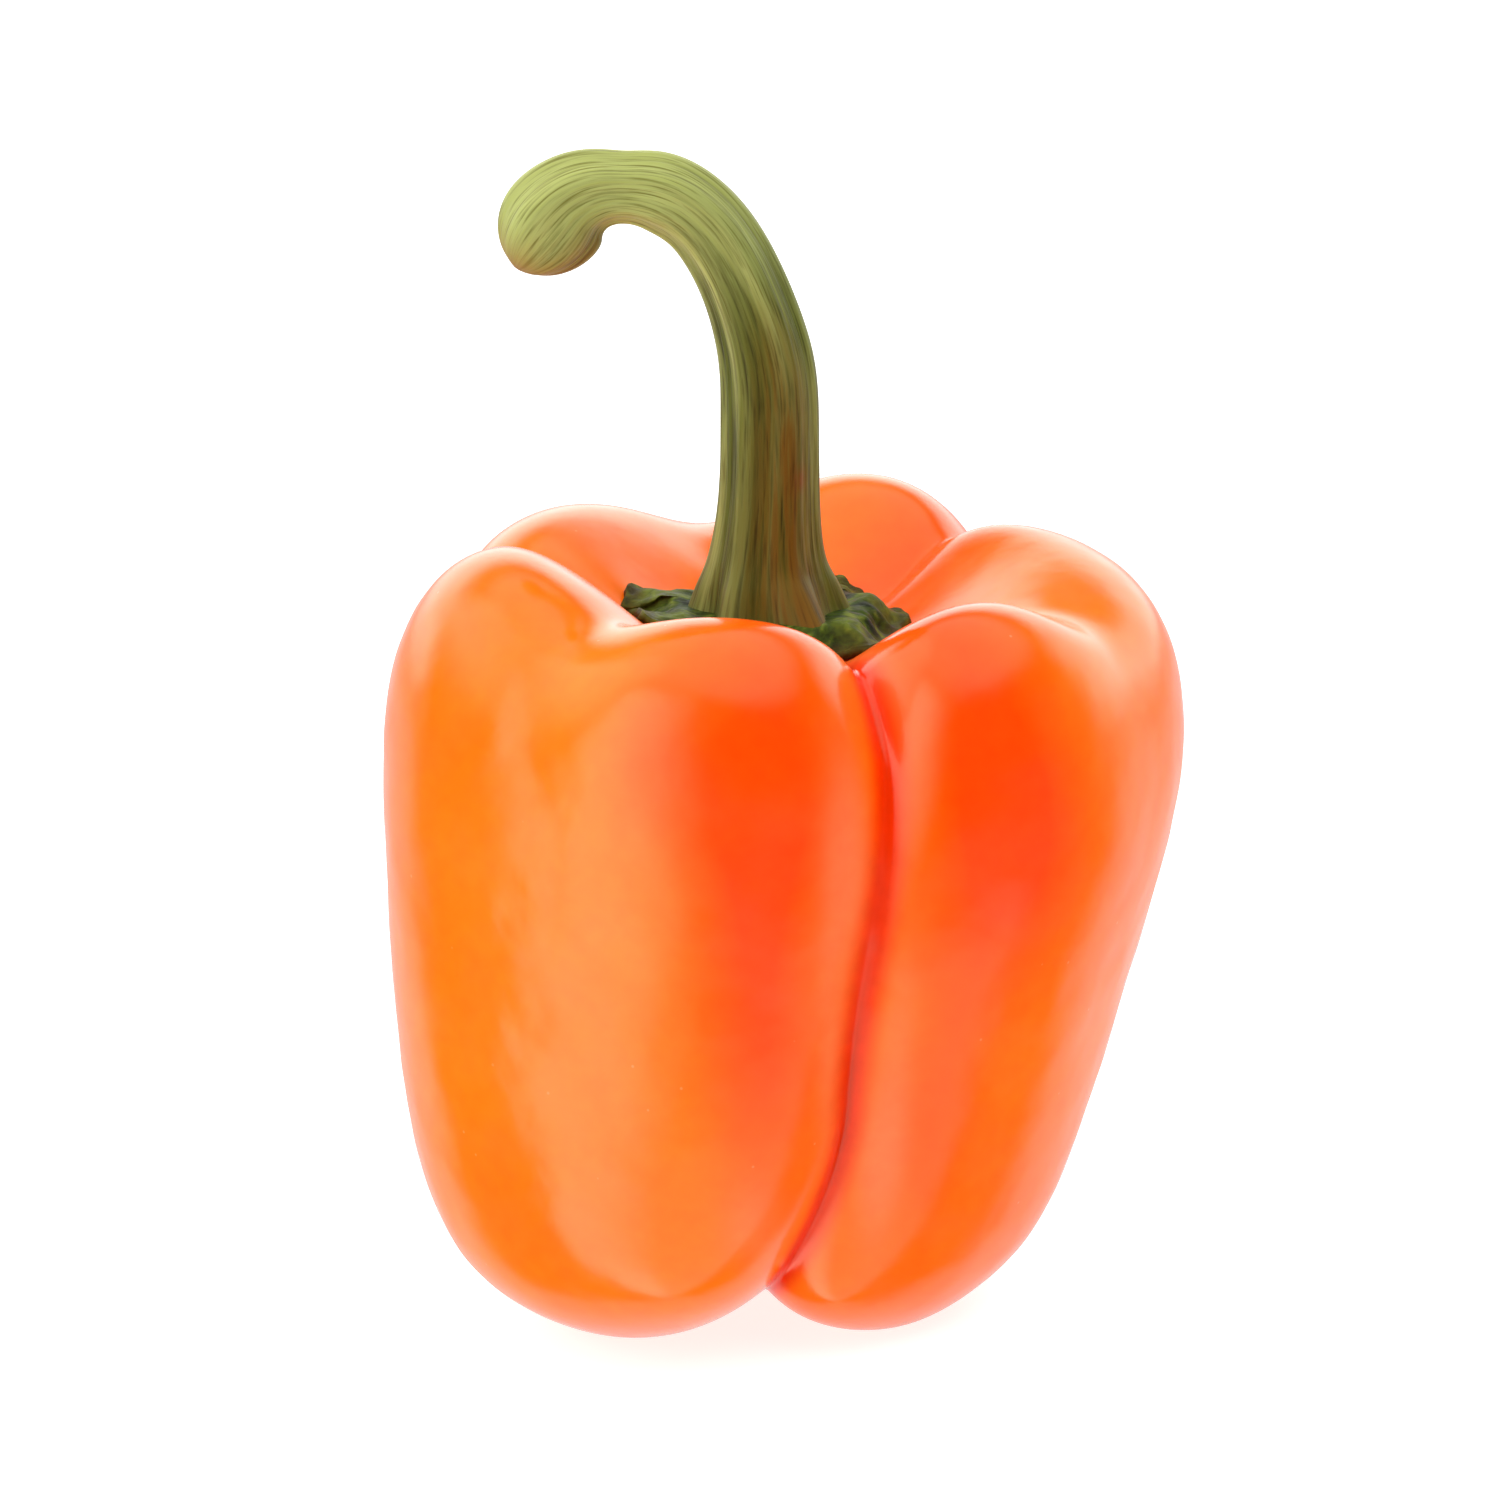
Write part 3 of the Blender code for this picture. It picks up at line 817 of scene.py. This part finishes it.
@dataclass
class PepperCalyx:
    """The calyx: a thick green star that lies in the hollow under the stem."""

    place: tuple[float, float] = (-1.6 * MM, 0.0)
    radius: float = 13.7 * MM
    point_reach: float = 2.4 * MM
    thickness: float = 2.0 * MM
    edge_thickness: float = 0.9 * MM
    seat_radius: float = 9.4 * MM
    clearance: float = 0.15 * MM
    point_width: float = math.radians(13)
    vein_height: float = 0.5 * MM
    wrinkle_height: float = 0.3 * MM
    wrinkle_size: float = 1.8 * MM
    columns: int = 240
    rings: int = 44
    finish: CalyxTissue = CalyxTissue()

    def __post_init__(self) -> None:
        """Sets the points' directions."""
        rad = math.radians
        self.points = (
            CalyxPoint(rad(18), 1.0),
            CalyxPoint(rad(57), 1.1),
            CalyxPoint(rad(108), 0.8),
            CalyxPoint(rad(158), 1.5),
            CalyxPoint(rad(207), 0.9),
            CalyxPoint(rad(262), 1.1),
            CalyxPoint(rad(318), 0.8),
        )

    def _reach(self, angles: np.ndarray) -> tuple[np.ndarray, np.ndarray]:
        """How far the calyx reaches in each direction, and how near that is to a point."""
        points = sum(
            p.reach * bell(turn_between(angles, p.angle), 0.0, self.point_width)
            for p in self.points
        )
        ragged = 0.12 * np.sin(17.0 * angles + 1.3) + 0.1 * np.sin(31.0 * angles)
        return self.radius + self.point_reach * (points + ragged), np.clip(points, 0.0, 1.0)

    def build(self, fruit: bpy.types.Object, seat: float) -> bpy.types.Object:
        """Makes the calyx on the fruit's hollow.

        Args:
            fruit: The fruit that the calyx lies on.
            seat: Height of the flat that the stem stands on.

        Returns:
            The calyx.
        """
        surface = BVHTree.FromObject(fruit, bpy.context.evaluated_depsgraph_get())
        angles = np.arange(self.columns) * 2.0 * np.pi / self.columns
        reach, pointed = self._reach(angles)
        shares = np.linspace(0.05, 1.0, self.rings)
        over = np.zeros((self.rings, self.columns, 3))
        under = np.zeros_like(over)
        seat_share = self.seat_radius / self.radius
        for i, share in enumerate(shares):
            thin = float(ease(share, seat_share, 1.0))
            thickness = self.thickness + (self.edge_thickness - self.thickness) * thin
            for k, angle in enumerate(angles):
                x = self.place[0] + reach[k] * share * math.cos(angle)
                y = self.place[1] + reach[k] * share * math.sin(angle)
                hit, normal, _, _ = surface.ray_cast(Vector((x, y, ABOVE_ALL)), DOWNWARD)
                under[i, k] = hit + normal * self.clearance
                over[i, k] = hit + normal * (self.clearance + thickness)
        level = 1.0 - ease(shares, seat_share, seat_share + 0.25)[:, None]
        over[..., 2] += (seat - over[..., 2]) * level
        veins = pointed[None] * ease(shares, 0.5, 0.7)[:, None]
        veins = veins * (1.0 - ease(shares, 0.85, 1.0))[:, None]
        over[..., 2] += self.vein_height * veins
        wrinkles = self.wrinkle_height * lumps(over, self.wrinkle_size, 5.2, 3)
        over[..., 2] += wrinkles * ease(shares, 0.5, 0.8)[:, None]
        rings = np.concatenate([over, under[::-1]])
        edge = np.concatenate([shares, shares[::-1]])[:, None] * np.ones_like(angles)
        attributes = {
            "edge": ease(edge, 0.7, 1.0),
            "rib": np.concatenate([veins, veins[::-1]]),
        }
        piece = mesh_of_rings("pepper_calyx", rings, self.finish.material(), attributes)
        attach(piece, ROOT_BODY)
        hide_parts("calyx")
        return piece


class StemAxis(NamedTuple):
    """The stem's middle line, with one value for each ring from the foot to the cut end."""

    places: np.ndarray
    ahead: np.ndarray  # unit vectors along the line
    radii: np.ndarray
    share: np.ndarray  # how much of the way to the end is done
    in_cut: np.ndarray  # 0 on the stem, rising to 1 on the cut face


@dataclass
class PepperStem:
    """The stem: a ribbed upright that arches over and ends in a swollen, cut knob."""

    place: tuple[float, float] = (-1.6 * MM, 0.0)
    base_radius: float = 8.0 * MM
    radius: float = 5.0 * MM
    neck_radius: float = 3.7 * MM
    knob_radius: float = 5.8 * MM
    rise: float = 45.7 * MM
    hook_reach: float = 22.7 * MM
    bend_room: float = 1.7 * MM  # between the inside of the last turn and its pivot
    end_length: float = 6.7 * MM
    back_lean: float = 1.2 * MM
    rib_share: float = 0.05
    ribs: int = 6
    sunk: float = 0.9 * MM  # how far the foot goes into the calyx, with which it has grown together
    rows: int = 300
    end_rows: int = 26
    end_smoothing: int = 120  # passes that round the knob off into the stem
    smoothed_rows: float = 22.0
    end_turn: float = math.radians(84.0)
    wander_size: float = 3.2 * MM  # of the ribs' slow unevenness
    thread_size: float = 0.75 * MM
    fibre_pull: float = 0.05  # stretches the fibres along the stem
    toe_angle: float = math.radians(-52)  # where the foot spreads and dips into the calyx
    toe_width: float = math.radians(20)
    toe_shift: tuple[float, float, float] = (2.0 * MM, -2.6 * MM, -1.2 * MM)
    brown_angle: float = math.radians(-70)
    brown_width: float = math.radians(36)
    rust_angle: float = math.radians(-48)
    rust_width: float = math.radians(11)
    rust_share: float = 0.235
    columns: int = 168
    finish: StemTissue = StemTissue()
    # Shares of the reach and the rise, how much of the foot's extra radius is left, and how far
    # the stem has slimmed to its neck.
    line: tuple[tuple[float, float, float, float], ...] = (
        (0.0, 0.0, 1.0, 0.0), (0.006, 0.097, 0.42, 0.0), (-0.001, 0.217, 0.1, 0.0),
        (-0.008, 0.414, 0.0, 0.0), (0.009, 0.578, 0.0, 0.13), (0.06, 0.685, 0.0, 0.38),
        (0.132, 0.782, 0.0, 0.54), (0.224, 0.869, 0.0, 0.62), (0.34, 0.939, 0.0, 0.67),
        (0.533, 0.992, 0.0, 0.75),
    )  # fmt: skip
    # How far the last turn has turned, and how far it has swollen to the knob.
    last_turn: Outline = ((0.0, 0.0), (21.0, 0.14), (41.0, 0.42), (58.0, 0.7), (75.0, 1.0))

    def _course(self) -> tuple[np.ndarray, np.ndarray]:
        """The stem's middle line above its place on the calyx, and its radius at each point."""
        flare = self.base_radius - self.radius
        slimming = self.radius - self.neck_radius
        line = [(-out * self.hook_reach, up * self.rise) for out, up, _, _ in self.line]
        radii = [self.radius + wide * flare - slim * slimming for _, _, wide, slim in self.line]
        whole = math.radians(self.last_turn[-1][0])
        pivot_x = (self.knob_radius + self.bend_room) * math.sin(whole) - self.hook_reach
        pivot_z = self.rise - self.neck_radius - self.bend_room
        for degrees, swelling in self.last_turn:
            turn = math.radians(degrees)
            radius = self.neck_radius + swelling * (self.knob_radius - self.neck_radius)
            away = radius + self.bend_room
            line.append((pivot_x - away * math.sin(turn), pivot_z + away * math.cos(turn)))
            radii.append(radius)
        flat = np.array(line)
        lean = self.back_lean * np.sin(np.pi * flat[:, 1] / self.rise)
        return np.stack([flat[:, 0], lean, flat[:, 1]], axis=1), np.array(radii)

    def _axis(self) -> StemAxis:
        """Samples the middle line finely and carries it on through the cut end."""
        line, line_radii = self._course()
        knots = chord_knots(line)
        along = np.linspace(0.0, 1.0, self.rows)
        places = spline(knots, line, along)
        radii = spline(knots, line_radii[:, None], along)[:, 0]
        ahead = np.gradient(places, axis=0)
        ahead[0] = (0.0, 0.0, 1.0)
        ahead /= np.linalg.norm(ahead, axis=1, keepdims=True)
        tilts = np.linspace(0.0, self.end_turn, self.end_rows + 1)[1:]
        tip = places[-1] + ahead[-1] * (self.end_length * np.sin(tilts))[:, None]
        return StemAxis(
            places=np.concatenate([places, tip]),
            ahead=np.concatenate([ahead, np.repeat(ahead[-1:], self.end_rows, axis=0)]),
            radii=np.concatenate([radii, radii[-1] * np.cos(tilts) ** 0.95]),
            share=np.concatenate([along, np.ones(self.end_rows)]),
            in_cut=np.concatenate([np.zeros(self.rows), np.sin(tilts) ** 3]),
        )

    def _fibre(self, axis: StemAxis, angles: np.ndarray) -> np.ndarray:
        """Places on the stem laid straight, which run slowly along it, so noise makes fibres."""
        steps = np.linalg.norm(np.diff(axis.places, axis=0), axis=1)
        length = np.concatenate([[0.0], np.cumsum(steps)])
        parts = np.broadcast_arrays(
            np.cos(angles)[None] * self.radius,
            np.sin(angles)[None] * self.radius,
            length[:, None] * self.fibre_pull,
        )
        return np.stack(parts, axis=-1)

    def _swelling(self, axis: StemAxis, ribs: np.ndarray, fibre: np.ndarray) -> np.ndarray:
        """How much wider or narrower than the axis says the stem is at each point."""
        wander = lumps(fibre, self.wander_size, 2.4, 3)
        threads = lumps(fibre, self.thread_size, 6.6, 2)
        fade = 1.0 - 0.8 * axis.in_cut[:, None]
        at_foot = 1.0 - ease(axis.share, 0.0, 0.09)[:, None]
        size = 1.0 + self.rib_share * np.sign(ribs) * np.abs(ribs) ** 0.8 * fade
        size = size + 0.025 * wander * fade + 0.02 * threads * fade
        return size + at_foot * (0.07 * ribs + 0.05 * wander)

    def _rings(self, axis: StemAxis, angles: np.ndarray, spread: np.ndarray) -> np.ndarray:
        """Rings of points round the axis, rounded off where the knob begins.

        Args:
            axis: The middle line.
            angles: Directions round the line.
            spread: Each point's distance from the line.

        Returns:
            Points as (ring, place round the ring, xyz), over a foot at height 0.
        """
        across = np.cross((0.0, 1.0, 0.0), axis.ahead)
        across /= np.linalg.norm(across, axis=1, keepdims=True)
        back = np.cross(axis.ahead, across)
        points = (
            axis.places[:, None]
            + across[:, None] * (spread * np.cos(angles))[..., None]
            + back[:, None] * (spread * np.sin(angles))[..., None]
        )
        near_knob = bell(np.arange(len(points)), self.rows - 1, self.smoothed_rows)
        strength = 0.5 * near_knob[1:-1, None, None]
        for _ in range(self.end_smoothing):
            points[1:-1] += strength * (0.5 * (points[:-2] + points[2:]) - points[1:-1])
        return points

    def _seat(self, points: np.ndarray, foot: float, share: np.ndarray, angles: np.ndarray) -> None:
        """Puts the stem on its foot and sinks the foot into the calyx, deepest at its toe.

        Args:
            points: The stem's rings, which are moved.
            foot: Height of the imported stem's foot.
            share: Each ring's share of the way to the end.
            angles: Directions round the stem.
        """
        points += np.array([self.place[0], self.place[1], foot])
        toe = bell(turn_between(angles, self.toe_angle), 0.0, self.toe_width)
        toe = toe * (1.0 - ease(share, 0.0, 0.07)[:, None] ** 0.5)
        points[..., 2] -= self.sunk * (1.0 - ease(share, 0.0, 0.05))[:, None]
        points += toe[..., None] * np.array(self.toe_shift)

    def build(self, foot: float) -> bpy.types.Object:
        """Makes the stem.

        Args:
            foot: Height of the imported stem's foot.

        Returns:
            The stem.
        """
        axis = self._axis()
        share = axis.share
        angles = np.arange(self.columns) * 2.0 * np.pi / self.columns
        fibre = self._fibre(axis, angles)
        ribs = np.cos(self.ribs * angles)[None] * np.ones_like(share)[:, None]
        spread = axis.radii[:, None] * self._swelling(axis, ribs, fibre)
        rings = self._rings(axis, angles, spread)
        self._seat(rings, foot, share, angles)

        front_right = bell(turn_between(angles, self.brown_angle), 0.0, self.brown_width)
        # painted shade: brown on the inside of the hook near the cut end
        hook_inside_shade = bell(turn_between(angles, math.pi), 0.0, math.radians(75))
        upright = (1.0 - ease(share, 0.35, 0.62))[:, None]
        at_end = ease(share, 0.86, 0.97)[:, None]
        spot = bell(turn_between(angles, self.rust_angle), 0.0, self.rust_width)
        attributes = {
            "fibre": fibre,
            "corky_brown_and_shade": np.clip(front_right * upright + 0.8 * hook_inside_shade * at_end, 0.0, 1.0),
            "rusty": 0.5 * spot * bell(share, self.rust_share, 0.022)[:, None],
            "stem_share": share[:, None] * np.ones_like(angles),
            "ridge": np.clip(ribs, 0.0, 1.0) ** 3,
            "cut_face": axis.in_cut[:, None] * np.ones_like(angles),
        }
        rows = {key: values[::-1] for key, values in attributes.items()}
        piece = mesh_of_rings("pepper_stem", rings[::-1], self.finish.material(), rows)
        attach(piece, ROOT_BODY)
        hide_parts("stem")
        return piece


# The studio.


@dataclass(frozen=True)
class SoftBox:
    """A rectangular soft light that points at the pepper and stays out of its gloss."""

    name: str
    azimuth: float  # degrees round the pepper, 0 in front and 90 at its right
    elevation: float
    distance: float
    width: float
    height: float
    power: float

    def build(self, target: Vector) -> bpy.types.Object:
        """Hangs the light so that it faces target."""
        around, up = math.radians(self.azimuth), math.radians(self.elevation)
        away = Vector(
            (
                math.sin(around) * math.cos(up),
                -math.cos(around) * math.cos(up),
                math.sin(up),
            )
        )
        lamp = bpy.data.lights.new(self.name, "AREA")
        lamp.shape = "RECTANGLE"
        lamp.size, lamp.size_y = self.width, self.height
        lamp.energy = self.power
        placed = bpy.data.objects.new(self.name, lamp)
        placed.location = target + away * self.distance
        placed.rotation_euler = (-away).to_track_quat("-Z", "Y").to_euler()
        placed.visible_glossy = False
        placed.visible_camera = False
        bpy.context.scene.collection.objects.link(placed)
        return placed


Stretch = tuple[float, float, float, float]


@dataclass(frozen=True)
class Panel:
    """A bright stretch of the surroundings, which lights the pepper and shines in its skin.

    Each stretch gives, in degrees, where the light starts, where it is full, up to where it
    stays full, and where it ends.
    """

    light: float
    rise: Stretch  # above the horizon
    around: Stretch | None = None  # 0 in front, 90 at the right; None is all round

    def add(self, tree: bpy.types.NodeTree, direction: bpy.types.NodeSocket) -> Any:
        """Adds the panel's light.

        Args:
            tree: The world's nodes.
            direction: The direction looked in.

        Returns:
            How bright the panel is in that direction.
        """
        add = partial(add_node, tree)
        up = add("VectorMath", (direction, (0.0, 0.0, 1.0)), operation="DOT_PRODUCT")
        rise = add("Math", (up,), operation="ARCSINE")
        light = self._between(tree, rise, self.rise, 0.0)
        if self.around:
            middle = 0.5 * (self.around[1] + self.around[2])
            sine, cosine = math.sin(math.radians(middle)), math.cos(math.radians(middle))
            ahead, aside = (
                add("VectorMath", (direction, way), operation="DOT_PRODUCT")
                for way in ((sine, -cosine, 0.0), (cosine, sine, 0.0))
            )
            turn = add("Math", (aside, ahead), operation="ARCTAN2")
            across = self._between(tree, turn, self.around, middle)
            light = add("Math", (light, across), operation="MULTIPLY")
        return add("Math", (light, self.light), operation="MULTIPLY")

    @staticmethod
    def _between(
        tree: bpy.types.NodeTree, angle: bpy.types.NodeSocket, stretch: Stretch, start: float
    ) -> bpy.types.NodeSocket:
        """1 inside a stretch of degrees counted from start, fading to 0 outside it."""
        first, full, last, end = (math.radians(a - start) for a in stretch)
        begun = add_node(tree, "MapRange", (angle, first, full, 0.0, 1.0), **SMOOTH)
        left = add_node(tree, "MapRange", (angle, last, end, 1.0, 0.0), **SMOOTH)
        return add_node(tree, "Math", (begun, left), operation="MULTIPLY")


@dataclass
class Studio:
    """The pale floor, the soft light and the camera."""

    target_height: float = 45.0 * MM
    camera_elevation: float = 17.0
    camera_distance: float = 0.8
    lens: float = 177.1
    aim_up: float = 15.6 * MM
    aim_left: float = 3.58 * MM
    floor_radius: float = 4.0
    dim: float = 0.02  # light from the open room
    finish: PaleFloor = PaleFloor()
    panels: tuple[Panel, ...] = (
        Panel(3.2, (-95, -91, 38, 58), (-71, -62, -56, -6)),  # tall soft box at the front left
        Panel(2.0, (2, 36, 60, 80), (-140, -112, -80, -50)),  # soft box high at the left
        Panel(1.3, (40, 58, 91, 95)),  # pale ceiling
        Panel(2.2, (-10, 8, 26, 44), (100, 128, 232, 252)),  # white wall behind
        Panel(0.8, (-95, -91, -10, 6), (105, 130, 230, 252)),  # far part of the white floor
        Panel(1.1, (-95, -91, -36, -24), (-50, -30, 60, 80)),  # near part of the white floor
    )
    lamps: tuple[SoftBox, ...] = (
        SoftBox("top_fill", 60.0, 74.0, 1.1, 1.2, 1.2, 9.0),
        SoftBox("left_fill", -88.0, 10.0, 1.3, 0.8, 1.2, 4.0),
        SoftBox("right_fill", 85.0, 5.0, 1.3, 0.8, 1.2, 5.0),
    )

    def _floor(self) -> None:
        """Makes a round floor."""
        count = 96
        turns = np.arange(count) * 2.0 * np.pi / count
        reach = self.floor_radius
        rim = [(reach * math.cos(a), reach * math.sin(a), 0.0) for a in turns]
        mesh = bpy.data.meshes.new("studio_floor")
        mesh.from_pydata(rim, [], [tuple(range(count))])
        mesh.materials.append(self.finish.material())
        floor = bpy.data.objects.new("studio_floor", mesh)
        floor.visible_glossy = False
        bpy.context.scene.collection.objects.link(floor)

    def _world(self) -> None:
        """Makes the surroundings: bright panels in a dim room, and plain white to the camera."""
        world = bpy.data.worlds.new("studio_surroundings")
        world.use_nodes = True
        tree = world.node_tree
        background = tree.nodes["Background"]
        direction = add_node(tree, "TexCoord", out="Generated")
        seen = add_node(tree, "LightPath", out="Is Camera Ray")
        total = add_node(tree, "Math", (seen, self.dim), operation="MAXIMUM")
        for panel in self.panels:
            light = panel.add(tree, direction)
            total = add_node(tree, "Math", (total, light), operation="MAXIMUM")
        fill_sockets(background, {"Color": "#FFFFFF", "Strength": total})
        bpy.context.scene.world = world

    def _camera(self) -> None:
        """Makes the camera, which looks at the pepper's front from a little above."""
        up = math.radians(self.camera_elevation)
        target = Vector((0.0, 0.0, self.target_height))
        ahead = Vector((0.0, math.cos(up), -math.sin(up)))
        upward = Vector((0.0, math.sin(up), math.cos(up)))
        camera = bpy.data.objects.new("studio_camera", bpy.data.cameras.new("studio_camera"))
        camera.data.lens = self.lens
        camera.data.clip_start, camera.data.clip_end = 0.05, 20.0
        camera.location = target - ahead * self.camera_distance
        aim = target + upward * self.aim_up - Vector((self.aim_left, 0.0, 0.0))
        gaze = aim - camera.location
        camera.rotation_euler = gaze.to_track_quat("-Z", "Y").to_euler()
        bpy.context.scene.collection.objects.link(camera)
        bpy.context.scene.camera = camera

    def build(self) -> None:
        """Sets up the floor, the surroundings, the lamps and the camera."""
        self._floor()
        self._world()
        for lamp in self.lamps:
            lamp.build(Vector((0.0, 0.0, self.target_height)))
        self._camera()
        view = bpy.context.scene.view_settings
        view.view_transform = "Standard"
        view.look = "None"


def main() -> None:
    """Builds the pepper and its studio."""
    logging.basicConfig(level=logging.INFO, format="%(name)s: %(message)s")
    stem_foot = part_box("stem")[0][2]
    fruit = PepperFruit().build()
    log.info("fruit with %d faces", len(fruit.data.polygons))
    calyx = PepperCalyx().build(fruit, stem_foot)
    log.info("calyx with %d faces", len(calyx.data.polygons))
    stem = PepperStem().build(stem_foot)
    log.info("stem with %d faces", len(stem.data.polygons))
    Studio().build()


if __name__ == "__main__":
    main()
